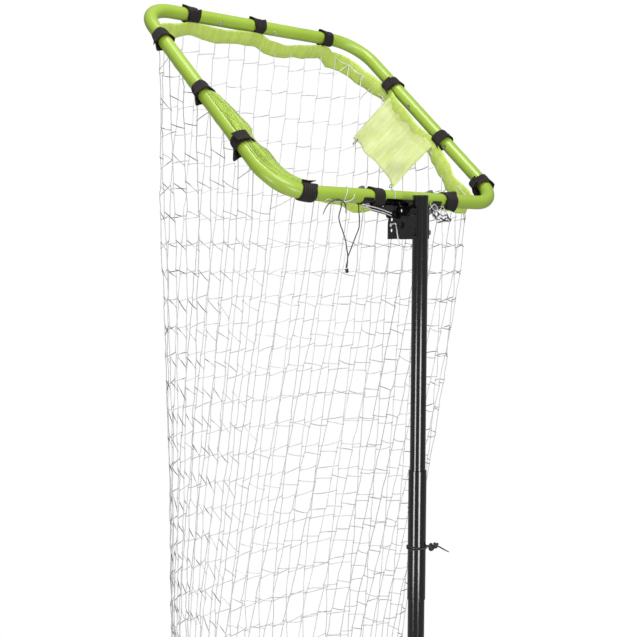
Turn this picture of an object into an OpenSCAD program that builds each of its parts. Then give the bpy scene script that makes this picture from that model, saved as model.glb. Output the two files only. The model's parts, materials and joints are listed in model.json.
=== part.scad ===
// Ball return tower: a tilted square hoop on a telescopic mast, with a hanging net chute
// Millimetres, +Z up, +X along the hoop's low side, +Y from the mast towards the hoop

/* [Hoop] */
// Side of the hoop between its corner centrelines
hoop_side = 685; // [560:5:830]
// Outer diameter of the hoop tube
hoop_tube_d = 32; // [28:0.5:38]
// Wall of the hoop tube
hoop_wall = 1.5; // [1:0.1:2]
// Centreline radius of the corner bends
hoop_bend_r = 90; // [75:1:110]
// Slope of the hoop above level at rest
hoop_slope = 41; // [34:1:46]
// Height of the hoop's low side above the floor
low_side_h = 1950; // [1640:5:2340]
// Reach of the low side's centreline in front of the mast axis
low_side_reach = 66; // [62:1:70]
// Length of each tube joint sleeve
joint_sleeve_l = 192; // [150:1:200]
// Distance of each joint screw from its tube joint
joint_screw_x = 85; // [60:1:90]

/* [Mast] */
// Outer diameter of the upper mast tube
upper_d = 34; // [32:0.5:38]
// Wall of both mast tubes
mast_wall = 1.2; // [1:0.1:1.6]
// Length of the upper mast tube
upper_l = 1000; // [850:5:1200]
// Height of the lower mast tube's top end above the floor
lower_top = 1320; // [1110:5:1400]
// Least length of the upper mast tube inside the lower one
mast_lap = 250; // [200:5:350]
// Length of the clamp sleeve
sleeve_l = 283; // [240:1:340]
// Wall of the clamp sleeve
sleeve_wall = 1.4; // [1.2:0.1:2]
// Part of the clamp sleeve that rises above the lower tube
sleeve_rise = 38; // [30:1:50]
// Direction of the clamp knob round the mast from +X
knob_turn = 49; // [0:1:60]
// Diameter of the clamp knob
knob_d = 36; // [30:1:44]

/* [Bracket] */
// Thickness of each side plate
plate_t = 3; // [2:0.5:4]
// Reach of the pivot in front of the mast axis
pivot_reach = 40; // [38:1:42]
// Drop of the pivot below the low side's centreline
pivot_drop = 60; // [57:1:63]
// Radius of the quadrant of pin holes
quadrant_r = 31; // [29:0.5:32]
// Diameter of the pivot bolt and of the stop pin
pin_d = 8; // [6:0.5:9]
// Thickness of each lug on the hoop saddle
lug_t = 4; // [3:0.5:5]
// Length of the saddle under the low side
saddle_l = 236; // [220:1:250]
// Distance of each saddle bolt from the middle
saddle_bolt_x = 105; // [101:0.5:109]

/* [Net and fabric] */
// Width of each hoop strap
strap_w = 30; // [20:1:36]
// Thickness of each hoop strap
strap_t = 2.6; // [2:0.1:3.2]
// Height of the fabric band inside the hoop
band_h = 40; // [30:1:46]
// Thickness of the band and of the net walls
cloth_t = 2.5; // [2:0.1:3.5]
// Height of the net outlet above the floor
net_bottom = 600; // [500:5:700]
// Width of the net outlet
net_outlet_w = 576; // [480:2:640]
// Front wall of the outlet in front of the footprint centre
outlet_front = 388; // [370:1:400]
// Depth of the net outlet from back to front
outlet_depth = 262; // [230:1:290]
// Height of the hem round the outlet
hem_h = 12; // [8:1:18]
// Width of the mesh flap along the band
flap_w = 211; // [180:1:240]
// Drop of the mesh flap below the band
flap_drop = 112; // [90:1:130]

/* [Base] */
// Length of each floor skid
skid_l = 1000; // [940:10:1160]
// Distance between the skid centrelines
skid_gap = 740; // [620:5:880]
// Distance of the mast axis behind the footprint centre
mast_back = 200; // [180:1:230]
// Outer diameter of the base tubes
base_tube_d = 32; // [28:0.5:38]
// Height of the base tubes' underside above the floor
foot_h = 10; // [8:0.5:14]
// Height of the mast socket's top above the floor
socket_h = 160; // [130:1:200]

/* [Hidden] */
$fn = 64;
lime = [0.62, 0.76, 0.24];
pale_lime = [0.78, 0.88, 0.48];
gloss_black = [0.06, 0.06, 0.07];
dull_black = [0.13, 0.13, 0.13];
zinc = [0.72, 0.72, 0.74];
twine = [0.92, 0.92, 0.93];

// Clearances
slide_gap = 0.05;
turn_gap = 0.06;
hole_gap = 0.1;
cloth_gap = 0.3;
seat_gap = 0.02;
end_gap = 0.2;

// Hoop
hoop_r = hoop_tube_d / 2;
straight = hoop_side / 2 - hoop_bend_r;
low_y = low_side_reach - mast_back;
// Tube joints from the middle of each side; the low one is held by the saddle bolts
joint_at = [0, -33, 33, -33];
screw_d = 5;
saddle_wall = 3;
trough_edge = 11;
web_drop = 24;
saddle_r = hoop_r + slide_gap + saddle_wall;
strap_r = hoop_r + cloth_gap;
// Strap centres from the middle of each side, seen from inside the hoop
straps_back = [148, -72, -268];
straps_right = [145, -87, -267];
straps_front = [200, 0, -230];
straps_left = [187, 0, -207];

// Mast
upper_r = upper_d / 2;
lower_r = upper_r + slide_gap + mast_wall;
sleeve_r = lower_r + slide_gap + sleeve_wall;
upper_bottom = low_side_h - upper_l;
lower_end = max(lower_top, upper_bottom + mast_lap);
sleeve_top = lower_end + sleeve_rise;
clamp_z = lower_end - 60;
clamp_nut_r = 9;
clamp_nut_l = 12;
cap_t = 3;
plug_l = 18;

// Bracket
pivot_y = pivot_reach - mast_back;
pivot_z = low_side_h - pivot_drop;
pin_r = pin_d / 2;
plate_x = upper_r + seat_gap;
lug_x = plate_x - 0.4 - lug_t;
reach_y = low_side_reach - pivot_reach;
saddle_far = sqrt(reach_y * reach_y + pivot_drop * pivot_drop);
saddle_turn = atan2(pivot_drop, reach_y);
pin_step = 22.5;
pin_turn = 46;
quadrant_holes = [2, 1, 0, -1, -2, -3];
plate_edge = quadrant_r + pin_r + 5;
plate_below = 30;
plate_back = pin_r + 3.5;
head_t = 5.3;
head_r = 7.5;
nut_t = 6.5;
nut_r = 7.5;
bracket_bolt_z = [32, 76];

// Base
base_r = base_tube_d / 2;
skid_x = skid_gap / 2;
base_z = foot_h + base_r;
tee_wall = 2.5;
tee_r = base_r + slide_gap + tee_wall;
tee_l = 80;
stub_l = 62;
socket_wall = 2.5;
socket_r = lower_r + slide_gap + socket_wall;
socket_sleeve_l = 130;
mast_bottom = base_z + base_r + slide_gap + socket_wall + 2;
cross_l = 2 * (skid_x - tee_r - 1);

// Net, with wall corners as [half width, y, z]
band_in = strap_r + strap_t + cloth_gap;
band_top = 0;
net_top = band_top - band_h - cloth_gap;
net_half = hoop_side / 2 - band_in;
top_back = hoop_point(band_in, net_top);
top_front = hoop_point(hoop_side - band_in, net_top);
flap_from = 253;
flap_lean = 18;

// Cord routes
draw_r = 1.2;
draw_route = [[-122, -137, 1934], [-122, -137, 1920], [-120, -137, 1904],
    [-121, -138, 1888], [-124, -138, 1877], [-131, -138, 1864], [-140, -138, 1846], [-148, -138, 1830], [-153, -138, 1818],
    [-154, -138, 1806], [-155, -138, 1796], [-158, -139, 1791], [-160, -141, 1796],
    [-158, -142, 1808], [-157, -142, 1822], [-160, -142, 1838], [-164, -142, 1856],
    [-172, -142, 1874], [-178, -141, 1888], [-181, -140, 1902], [-177, -139, 1915],
    [-173, -138, 1924], [-172, -137, 1934]];
tie_z = 1190;
tie_r = 1.6;
tie_tail = [[32, -234, 1187], [46, -240, 1181], [56, -242, 1178], [66, -243, 1176]];
lace_r = 1.3;
lace_route = [[-13, -129, 1890], [-18, -129, 1890], [-22, -130, 1890], [-22, -139, 1893],
    [-22, -146, 1893], [-22, -150, 1885], [-22, -152, 1872], [-22, -155, 1861],
    [-22, -161, 1848], [-22, -170, 1839], [-22, -180, 1836], [-18, -189, 1839],
    [-11, -184, 1843], [-3, -181, 1847], [5, -181, 1851], [12, -184, 1855]];

// Point in the hoop's sloping plane: s up the slope from the low side, n off the plane
function hoop_point(s, n) = [low_y + s * cos(hoop_slope) - n * sin(hoop_slope),
    low_side_h + s * sin(hoop_slope) + n * cos(hoop_slope)];

function unit(v) = v / norm(v);
function spline(a, b, c, d, t) = 0.5 * ((2 * b) + (c - a) * t
    + (2 * a - 5 * b + 4 * c - d) * t * t + (3 * b - a - 3 * c + d) * t * t * t);
function smooth_route(p, steps) = let (n = len(p)) concat([for (i = [0:n - 2])
    for (k = [0:steps - 1]) spline(p[max(i - 1, 0)], p[i], p[i + 1], p[min(i + 2, n - 1)],
    k / steps)], [p[n - 1]]);
function route_way(p, i) = unit(p[min(i + 1, len(p) - 1)] - p[max(i - 1, 0)]);
function carried(side, way) = unit(side - way * (side * way));
function ring_sides(p, i, side) = i == len(p) ? [] :
    let (s = carried(side, route_way(p, i))) concat([s], ring_sides(p, i + 1, s));

// Round cord swept along a route
module cord(route, r, steps = 2, sides = 8) {
    p = smooth_route(route, steps);
    n = len(p);
    frames = ring_sides(p, 0, [0.1, 0.9, 0.2]);
    rings = [for (i = [0:n - 1]) let (w = route_way(p, i)) let (u = frames[i])
        let (v = cross(w, u)) for (k = [0:sides - 1])
        p[i] + r * (cos(360 * k / sides) * u + sin(360 * k / sides) * v)];
    walls = [for (i = [0:n - 2]) for (k = [0:sides - 1]) let (a = i * sides + k)
        let (b = i * sides + (k + 1) % sides) for (f = [[a, a + sides, b],
        [b, a + sides, b + sides]]) f];
    first = [for (k = [1:sides - 2]) [0, k, k + 1]];
    last = [for (k = [1:sides - 2]) [(n - 1) * sides, (n - 1) * sides + k + 1,
        (n - 1) * sides + k]];
    polyhedron(rings, concat(walls, first, last));
}

// Thin four-cornered wall, a to d round its outer face and e to h round its inner face
module cloth_wall(p) {
    polyhedron(p, [[0, 2, 1], [0, 3, 2], [4, 5, 6], [4, 6, 7], [0, 1, 5], [0, 5, 4],
        [1, 2, 6], [1, 6, 5], [2, 3, 7], [2, 7, 6], [3, 0, 4], [3, 4, 7]]);
}

module ring(ro, ri) {
    difference() {
        circle(ro);
        circle(ri);
    }
}

module tube_x(x0, x1, ro, ri) {
    translate([x0, 0, 0]) rotate([0, 90, 0]) linear_extrude(x1 - x0) ring(ro, ri);
}

module tube_z(z0, z1, ro, ri) {
    translate([0, 0, z0]) linear_extrude(z1 - z0) ring(ro, ri);
}

module rod_x(x0, x1, r) {
    translate([x0, 0, 0]) rotate([0, 90, 0]) cylinder(h = x1 - x0, r = r);
}

// Flat outline drawn as (y, z) and given thickness along x
module plate_yz(x0, t) {
    translate([x0, 0, 0]) rotate([90, 0, 90]) linear_extrude(t) children();
}

module hex_x(x0, t, r) {
    translate([x0, 0, 0]) rotate([0, 90, 0]) linear_extrude(t) circle(r, $fn = 6);
}

module at_mast() {
    translate([0, -mast_back, 0]) children();
}

module at_hoop() {
    translate([0, low_y, low_side_h]) rotate([hoop_slope, 0, 0]) children();
}

// Side 0 is the low one, then right, high and left
module at_side(k) {
    at_hoop() translate([0, hoop_side / 2, 0]) rotate([0, 0, 90 * k])
        translate([0, -hoop_side / 2, 0]) children();
}

module at_pivot() {
    translate([0, pivot_y, pivot_z]) children();
}

// Piece round a hoop side from a to b along the centreline, following the bend
module wrap_side(a, b, ro, ri) {
    bend_a = max(a - straight, 0) / hoop_bend_r * 180 / PI;
    bend_b = (b - straight) / hoop_bend_r * 180 / PI;
    if (a < straight) tube_x(a, min(b, straight), ro, ri);
    if (b > straight) translate([straight, hoop_bend_r, 0]) rotate([0, 0, bend_a - 90])
        rotate_extrude(angle = bend_b - bend_a) translate([hoop_bend_r, 0]) ring(ro, ri);
}

// Tube of one hoop corner, from the joint on side k round the bend to the next joint
module corner_tube(k) {
    n = (k + 1) % 4;
    difference() {
        union() {
            at_side(k) wrap_side(joint_at[k] + end_gap / 2, straight + hoop_bend_r * PI / 2,
                hoop_r, hoop_r - hoop_wall);
            at_side(n) tube_x(-straight, joint_at[n] - end_gap / 2, hoop_r, hoop_r - hoop_wall);
        }
        if (k > 0) at_side(k) screw_hole(joint_at[k] + joint_screw_x);
        if (n > 0) at_side(n) screw_hole(joint_at[n] - joint_screw_x);
        if (k == 0) saddle_bolt_holes(saddle_bolt_x);
        if (n == 0) saddle_bolt_holes(-saddle_bolt_x);
    }
}

module screw_hole(x) {
    translate([x, 0, 0]) rotate([-90, 0, 0]) cylinder(h = hoop_r + 5, r = screw_d / 2 + hole_gap);
}

// Frame with +Y pointing from the pivot to the low side's centre
module at_saddle() {
    translate([0, low_y, low_side_h]) rotate([saddle_turn, 0, 0]) children();
}

module saddle_bolt_holes(x) {
    at_saddle() translate([x, 0, 0]) rotate([90, 0, 0])
        cylinder(h = 60, r = pin_r + hole_gap, center = true);
}

module strap(k, x) {
    color(dull_black) at_side(k) {
        if (x >= 0) wrap_side(x - strap_w / 2, x + strap_w / 2, strap_r + strap_t, strap_r);
        if (x < 0) mirror([1, 0, 0])
            wrap_side(-x - strap_w / 2, strap_w / 2 - x, strap_r + strap_t, strap_r);
    }
}

module strap_back_1() strap(0, straps_back[0]);
module strap_back_2() strap(0, straps_back[1]);
module strap_back_3() strap(0, straps_back[2]);
module strap_right_1() strap(1, straps_right[0]);
module strap_right_2() strap(1, straps_right[1]);
module strap_right_3() strap(1, straps_right[2]);
module strap_front_1() strap(2, straps_front[0]);
module strap_front_2() strap(2, straps_front[1]);
module strap_front_3() strap(2, straps_front[2]);
module strap_left_1() strap(3, straps_left[0]);
module strap_left_2() strap(3, straps_left[1]);
module strap_left_3() strap(3, straps_left[2]);

module hoop_corner_back_right() color(lime) corner_tube(0);
module hoop_corner_front_right() color(lime) corner_tube(1);
module hoop_corner_front_left() color(lime) corner_tube(2);
module hoop_corner_back_left() color(lime) corner_tube(3);

module joint_sleeves() {
    ro = hoop_r - hoop_wall - slide_gap;
    low_half = saddle_bolt_x + 15;
    color(zinc) difference() {
        at_side(0) tube_x(-low_half, low_half, ro, ro - 1.5);
        for (s = [-1, 1]) saddle_bolt_holes(s * saddle_bolt_x);
    }
    color(zinc) for (k = [1:3]) at_side(k) translate([joint_at[k], 0, 0]) difference() {
        tube_x(-joint_sleeve_l / 2, joint_sleeve_l / 2, ro, ro - 1.5);
        for (s = [-1, 1]) screw_hole(s * joint_screw_x);
    }
}

module joint_screws() {
    color(zinc) for (k = [1:3]) for (s = [-1, 1]) at_side(k)
        translate([joint_at[k] + s * joint_screw_x, 0, 0]) rotate([-90, 0, 0]) {
            translate([0, 0, hoop_r - 6]) cylinder(h = 6 + seat_gap, r = screw_d / 2);
            translate([0, 0, hoop_r + seat_gap]) cylinder(h = 2.6, r = screw_d - 0.5);
        }
}

// Lug outline about the pivot: its front edge rests on the stop pin, its end on the saddle pipe
module lug_outline() {
    front = pin_turn + asin((pin_r + slide_gap) / quadrant_r);
    rear = 2 * saddle_turn - front;
    reach = saddle_far - 6;
    difference() {
        union() {
            circle(pin_r + 9);
            polygon([[0, 0], [reach * cos(front), reach * sin(front)],
                [reach * cos(rear), reach * sin(rear)]]);
        }
        circle(pin_r + turn_gap);
        translate([saddle_far * cos(saddle_turn), saddle_far * sin(saddle_turn)])
            circle(saddle_r + seat_gap);
    }
}
module saddle_lug(x) {
    color(gloss_black) at_pivot() plate_yz(x, lug_t) lug_outline();
}
module saddle_lug_left() saddle_lug(-lug_x - lug_t);
module saddle_lug_right() saddle_lug(lug_x);

// Trough and gusset web, with a slot on each side for a strap
module hoop_saddle() {
    half = saddle_l / 2;
    slot = strap_w + 8;
    slot_x = -straps_back[1] - slot / 2;
    web_x = max(saddle_bolt_x - nut_r - 4, slot_x + slot + 2.5);
    notch_x = plate_x + plate_t + 4;
    color(gloss_black) difference() {
        union() {
            at_saddle() {
                saddle_pipe(-half, half - slot_x - slot);
                saddle_pipe(-slot_x, 2 * slot_x);
                saddle_pipe(slot_x + slot, half - slot_x - slot);
                translate([0, 0, -2]) linear_extrude(4) difference() {
                    polygon([[-web_x, -saddle_r + 1.5], [-web_x, -saddle_r - 14],
                        [-web_x / 2, -saddle_r - web_drop], [web_x / 2, -saddle_r - web_drop],
                        [web_x, -saddle_r - 14], [web_x, -saddle_r + 1.5]]);
                    translate([-notch_x, -2 * saddle_far]) square([2 * notch_x, 2 * saddle_far]);
                    for (x = [-slot_x - slot, slot_x]) translate([x, -saddle_r - 5])
                        square([slot, saddle_r]);
                }
            }
        }
        for (s = [-1, 1]) saddle_bolt_holes(s * saddle_bolt_x);
    }
}

module saddle_pipe(x0, length) {
    plate_yz(x0, length) difference() {
        circle(saddle_r);
        circle(hoop_r + slide_gap);
        translate([-trough_edge, -saddle_r - 1]) square(2 * saddle_r + 2);
    }
}

module pivot_spacer() {
    color(zinc) at_pivot() tube_x(-lug_x + seat_gap, lug_x - seat_gap, pin_r + 3,
        pin_r + turn_gap);
}

module saddle_bolts() {
    color(zinc) for (s = [-1, 1]) at_saddle() translate([s * saddle_bolt_x, 0, 0])
        rotate([90, 0, 0]) {
            translate([0, 0, -hoop_r - seat_gap]) cylinder(h = 2 * saddle_r + nut_t - 1, r = pin_r);
            translate([0, 0, -hoop_r - seat_gap - head_t]) linear_extrude(head_t)
                circle(head_r, $fn = 6);
        }
}

module saddle_nuts() {
    color(zinc) for (s = [-1, 1]) at_saddle() translate([s * saddle_bolt_x, 0, 0])
        rotate([90, 0, 0]) difference() {
            translate([0, 0, saddle_r + seat_gap]) linear_extrude(nut_t) circle(nut_r, $fn = 6);
            cylinder(h = 60, r = pin_r + turn_gap);
        }
}

// Rounded square wall inside the hoop
module net_band() {
    r = hoop_bend_r - band_in;
    w = net_half - r;
    color(pale_lime) at_hoop() translate([0, hoop_side / 2, band_top - band_h])
        linear_extrude(band_h) difference() {
            union() {
                square([2 * net_half, 2 * w], center = true);
                square([2 * w, 2 * net_half], center = true);
                for (x = [-w, w]) for (y = [-w, w]) translate([x, y]) circle(r);
            }
            union() {
                square([2 * (net_half - cloth_t), 2 * w], center = true);
                square([2 * w, 2 * (net_half - cloth_t)], center = true);
                for (x = [-w, w]) for (y = [-w, w]) translate([x, y]) circle(r - cloth_t);
            }
        }
}

module mesh_flap() {
    x = net_half - cloth_t - cloth_gap;
    color(pale_lime) at_hoop() translate([x, flap_from, band_top - band_h / 2])
        rotate([0, flap_lean, 0]) translate([-2, 0, -flap_drop - band_h / 2])
        cube([2, flap_w, flap_drop + band_h / 2]);
}

// Net walls between the band and the outlet
module net_front() {
    t = cloth_t;
    wb = net_outlet_w / 2;
    yt = top_front[0];
    zt = top_front[1];
    color(twine) cloth_wall([[-net_half, yt, zt], [net_half, yt, zt],
        [wb, outlet_front, net_bottom], [-wb, outlet_front, net_bottom],
        [-net_half, yt - t, zt - t], [net_half, yt - t, zt - t],
        [wb, outlet_front - t, net_bottom], [-wb, outlet_front - t, net_bottom]]);
}

module net_back() {
    t = cloth_t;
    wb = net_outlet_w / 2;
    yt = top_back[0];
    zt = top_back[1];
    yb = outlet_front - outlet_depth;
    color(twine) cloth_wall([[net_half, yt, zt], [-net_half, yt, zt], [-wb, yb, net_bottom],
        [wb, yb, net_bottom], [net_half, yt + t, zt], [-net_half, yt + t, zt],
        [-wb, yb + t, net_bottom], [wb, yb + t, net_bottom]]);
}

module side_wall() {
    t = cloth_t;
    gap = t + cloth_gap;
    wb = net_outlet_w / 2;
    slope = [top_front[0] - top_back[0], top_front[1] - top_back[1]];
    rise = slope[1] / slope[0];
    ya = top_back[0] + gap;
    yb = top_front[0] - gap - 1;
    za = top_back[1] + rise * gap - 1;
    zb = top_front[1] - rise * (gap + 1) - 1;
    back = outlet_front - outlet_depth + gap;
    front = outlet_front - gap;
    cloth_wall([[net_half, ya, za], [wb, back, net_bottom], [wb, front, net_bottom],
        [net_half, yb, zb], [net_half - t, ya, za], [wb - t, back, net_bottom],
        [wb - t, front, net_bottom], [net_half - t, yb, zb]]);
}

module net_right() color(twine) side_wall();
module net_left() color(twine) mirror([1, 0, 0]) side_wall();

module net_hem() {
    wb = net_outlet_w / 2;
    color(twine) translate([-wb, outlet_front - outlet_depth, net_bottom - hem_h - end_gap])
        linear_extrude(hem_h) difference() {
            square([2 * wb, outlet_depth]);
            translate([cloth_t, cloth_t]) square([2 * wb - 2 * cloth_t, outlet_depth - 2 * cloth_t]);
        }
}

module net_lace() color(twine) cord(lace_route, lace_r, 1);
module draw_cord() color(dull_black) cord(draw_route, draw_r);

module draw_knot() {
    color(dull_black) translate([-158, -140.5, 1785.5]) sphere(3.8);
}

module tie_cord() {
    color(dull_black) {
        at_mast() translate([0, 0, tie_z]) rotate_extrude() translate([sleeve_r + tie_r + 0.1, 0])
            circle(tie_r, $fn = 24);
        translate([30, -232, tie_z - 2]) sphere(6);
        at_mast() translate([14, -17, tie_z]) rotate([0, 95, -41]) cylinder(h = 18, r = 2.4);
        cord(tie_tail, tie_r, 1);
    }
}

module mast_upper() {
    color(gloss_black) at_mast() difference() {
        tube_z(upper_bottom, low_side_h, upper_r, upper_r - mast_wall);
        for (z = bracket_bolt_z) translate([0, 0, low_side_h - z])
            rod_x(-upper_d, upper_d, pin_r + hole_gap);
    }
}

module mast_cap() {
    color(dull_black) at_mast() {
        translate([0, 0, low_side_h]) cylinder(h = cap_t, r = upper_r);
        translate([0, 0, low_side_h - plug_l]) cylinder(h = plug_l, r = upper_r - mast_wall - 0.05);
    }
}

// Side plate with a quadrant of pin holes about the pivot
module bracket_plate(x) {
    low = -pivot_drop - plate_below;
    color(gloss_black) difference() {
        at_mast() translate([0, 0, low_side_h]) plate_yz(x, plate_t) difference() {
            union() {
                translate([-plate_back, low])
                    square([plate_back + pivot_reach, plate_edge + plate_below]);
                translate([pivot_reach, -pivot_drop]) circle(plate_edge);
                translate([pivot_reach, low]) square([plate_edge, plate_below]);
            }
            translate([-plate_back, low - plate_edge])
                square([plate_back + pivot_reach + plate_edge, plate_edge]);
            for (z = bracket_bolt_z) translate([0, -z]) circle(pin_r + hole_gap);
            translate([pivot_reach, -pivot_drop]) circle(pin_r + hole_gap);
            for (i = quadrant_holes) translate([pivot_reach, -pivot_drop])
                rotate(pin_turn + i * pin_step) translate([quadrant_r, 0]) circle(pin_r + hole_gap);
        }
    }
}

module bracket_plate_left() bracket_plate(-plate_x - plate_t);
module bracket_plate_right() bracket_plate(plate_x);

module cross_bolt() {
    end = plate_x + plate_t + seat_gap;
    rod_x(-end, end + nut_t + 2, pin_r);
    hex_x(-end - head_t, head_t, head_r);
}

module cross_nut() {
    difference() {
        hex_x(plate_x + plate_t + seat_gap, nut_t, nut_r);
        rod_x(0, 60, pin_r + turn_gap);
    }
}

module bracket_bolts() {
    color(dull_black) for (z = bracket_bolt_z) at_mast() translate([0, 0, low_side_h - z]) cross_bolt();
}

module bracket_nuts() {
    color(zinc) for (z = bracket_bolt_z) at_mast() translate([0, 0, low_side_h - z]) cross_nut();
}

module pivot_bolt() color(dull_black) at_pivot() cross_bolt();
module pivot_nut() color(zinc) at_pivot() cross_nut();

// Pull pin through both plates, in front of the lugs
module stop_pin() {
    end = plate_x + plate_t;
    color(gloss_black) at_pivot() rotate([pin_turn, 0, 0]) translate([0, quadrant_r, 0]) {
        rod_x(-end - 12, end + 2, pin_r);
        rod_x(-end - 12, -end - seat_gap * 5, pin_r + 2);
        rod_x(-end - 16, -end - 12, pin_r + 4);
    }
}

module mast_lower() {
    color(gloss_black) at_mast() difference() {
        tube_z(mast_bottom, lower_end, lower_r, lower_r - mast_wall);
        translate([0, 0, clamp_z]) rotate([0, 0, knob_turn]) rod_x(0, 60, pin_r + 1);
        translate([0, 0, socket_h - 40]) rod_x(-60, 60, pin_r + hole_gap);
    }
}

module clamp_sleeve() {
    color(gloss_black) at_mast() difference() {
        tube_z(sleeve_top - sleeve_l, sleeve_top, sleeve_r, sleeve_r - sleeve_wall);
        translate([0, 0, clamp_z]) rotate([0, 0, knob_turn]) rod_x(0, 60, pin_r + 1);
    }
}

module sleeve_bush() {
    color(dull_black) at_mast() tube_z(lower_end + seat_gap, sleeve_top - 1,
        sleeve_r - sleeve_wall - seat_gap, upper_r + slide_gap);
}

module clamp_nut() {
    color(gloss_black) at_mast() translate([0, 0, clamp_z]) rotate([0, 0, knob_turn]) difference() {
        rod_x(sleeve_r - sleeve_wall + 0.5, sleeve_r + clamp_nut_l, clamp_nut_r);
        rod_x(0, 90, pin_r + turn_gap);
        translate([0, 0, -30]) cylinder(h = 60, r = sleeve_r + seat_gap);
    }
}

module height_knob() {
    start = sleeve_r + clamp_nut_l + 1;
    color(dull_black) at_mast() translate([0, 0, clamp_z]) rotate([0, 0, knob_turn]) difference() {
        union() {
            rod_x(upper_r + end_gap, start + 2, pin_r);
            rod_x(start, start + 5, knob_d / 2 - 8);
            rod_x(start + 5, start + 19, knob_d / 2);
        }
        for (i = [0:5]) rotate([60 * i, 0, 0]) translate([0, knob_d / 2 + 4, 0])
            rod_x(start + 4, start + 20, 7);
    }
}

module skid(s) {
    color(gloss_black) translate([s * skid_x, 0, base_z]) rotate([0, 0, 90]) difference() {
        tube_x(-skid_l / 2, skid_l / 2, base_r, base_r - 1.5);
        translate([-mast_back - 25, 0, -30]) cylinder(h = 60, r = pin_r + hole_gap);
    }
}

module base_skid_left() skid(-1);
module base_skid_right() skid(1);

module base_cross_tube() {
    color(gloss_black) translate([0, -mast_back, base_z]) difference() {
        tube_x(-cross_l / 2, cross_l / 2, base_r, base_r - 1.5);
        for (s = [-1, 1]) translate([s * (cross_l / 2 - 35), 0, -30])
            cylinder(h = 60, r = pin_r + hole_gap);
        for (s = [-1, 1]) translate([s * 45, 0, -30]) cylinder(h = 60, r = pin_r + hole_gap);
    }
}

// Sleeve on a skid with a stub for the cross tube
module tee(s) {
    color(gloss_black) translate([s * skid_x, -mast_back, base_z]) mirror([s > 0 ? 1 : 0, 0, 0])
        difference() {
            union() {
                rotate([-90, 0, 0]) translate([0, 0, -tee_l / 2]) cylinder(h = tee_l, r = tee_r);
                rod_x(0, stub_l, tee_r);
            }
            rotate([-90, 0, 0]) translate([0, 0, -tee_l]) cylinder(h = 2 * tee_l, r = base_r + slide_gap);
            rod_x(tee_r, stub_l + 1, base_r + slide_gap);
            translate([0, -25, -30]) cylinder(h = 60, r = pin_r + hole_gap);
            translate([tee_r + 36, 0, -30]) cylinder(h = 60, r = pin_r + hole_gap);
        }
}

module tee_left() tee(-1);
module tee_right() tee(1);

// Upright socket welded on a sleeve round the cross tube, with side gussets
module mast_socket() {
    half = socket_sleeve_l / 2;
    sleeve = base_r + slide_gap + socket_wall;
    gusset = half - 31;
    color(gloss_black) translate([0, -mast_back, 0]) difference() {
        union() {
            translate([0, 0, base_z]) rod_x(-half, half, sleeve);
            translate([0, 0, base_z]) cylinder(h = socket_h - base_z, r = socket_r);
            translate([0, 2, 0]) rotate([90, 0, 0]) linear_extrude(4)
                polygon([[-gusset, base_z + 10], [gusset, base_z + 10], [gusset, base_z + 22],
                    [12, socket_h - 60], [-12, socket_h - 60], [-gusset, base_z + 22]]);
        }
        translate([0, 0, base_z]) rod_x(-half - 1, half + 1, base_r + slide_gap);
        translate([0, 0, mast_bottom - 0.02]) cylinder(h = socket_h, r = lower_r + slide_gap);
        translate([0, 0, socket_h - 40]) rod_x(-60, 60, pin_r + hole_gap);
        for (s = [-1, 1]) translate([s * 45, 0, 0]) cylinder(h = base_z + 60, r = pin_r + hole_gap);
    }
}

module upright_bolt(x, y, r, extra = 0) {
    translate([x, y, base_z - r - seat_gap - head_t]) linear_extrude(head_t)
        circle(head_r, $fn = 6);
    translate([x, y, base_z - r - seat_gap]) cylinder(h = 2 * r + 3, r = pin_r);
    translate([x, y, base_z + r + seat_gap + extra]) linear_extrude(nut_t) circle(nut_r, $fn = 6);
}

module base_bolts() {
    end = socket_r + seat_gap;
    color(zinc) {
        for (s = [-1, 1]) upright_bolt(s * skid_x, -mast_back - 25, tee_r);
        for (s = [-1, 1]) upright_bolt(s * (skid_x - tee_r - 36), -mast_back, tee_r);
        for (s = [-1, 1]) upright_bolt(s * 45, -mast_back, tee_r);
        at_mast() translate([0, 0, socket_h - 40]) {
            rod_x(-end, end + nut_t + 1, pin_r);
            hex_x(-end - head_t, head_t, head_r);
            hex_x(end, nut_t, nut_r);
        }
    }
}

module skid_caps() {
    color(dull_black) for (s = [-1, 1]) for (e = [0, 1]) translate([s * skid_x, 0, base_z])
        mirror([0, e, 0]) rotate([-90, 0, 0]) {
            translate([0, 0, skid_l / 2]) cylinder(h = 3, r = base_r);
            translate([0, 0, skid_l / 2 - 18]) cylinder(h = 18, r = base_r - 1.55);
        }
}

module floor_feet() {
    color(dull_black) for (s = [-1, 1]) for (e = [-1, 1]) difference() {
        translate([s * skid_x - 20, e * (skid_l / 2 - 60) - 30, 0]) cube([40, 60, foot_h + 8]);
        translate([s * skid_x, e * (skid_l / 2 - 60) - 31, base_z]) rotate([-90, 0, 0])
            cylinder(h = 62, r = base_r + slide_gap);
    }
}

base_skid_left();
base_skid_right();
base_cross_tube();
tee_left();
tee_right();
mast_socket();
base_bolts();
skid_caps();
floor_feet();
mast_lower();
clamp_sleeve();
sleeve_bush();
clamp_nut();
height_knob();
tie_cord();
mast_upper();
mast_cap();
bracket_plate_left();
bracket_plate_right();
bracket_bolts();
bracket_nuts();
pivot_bolt();
pivot_nut();
stop_pin();
net_front();
net_back();
net_left();
net_right();
net_hem();
net_lace();
hoop_corner_front_left();
hoop_corner_front_right();
hoop_corner_back_left();
hoop_corner_back_right();
joint_sleeves();
joint_screws();
hoop_saddle();
saddle_lug_left();
saddle_lug_right();
pivot_spacer();
saddle_bolts();
saddle_nuts();
strap_back_1();
strap_back_2();
strap_back_3();
strap_right_1();
strap_right_2();
strap_right_3();
strap_front_1();
strap_front_2();
strap_front_3();
strap_left_1();
strap_left_2();
strap_left_3();
net_band();
mesh_flap();
draw_cord();
draw_knot();
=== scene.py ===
import bpy
import json
import math
import random
from mathutils import Matrix, Vector, noise


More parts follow.
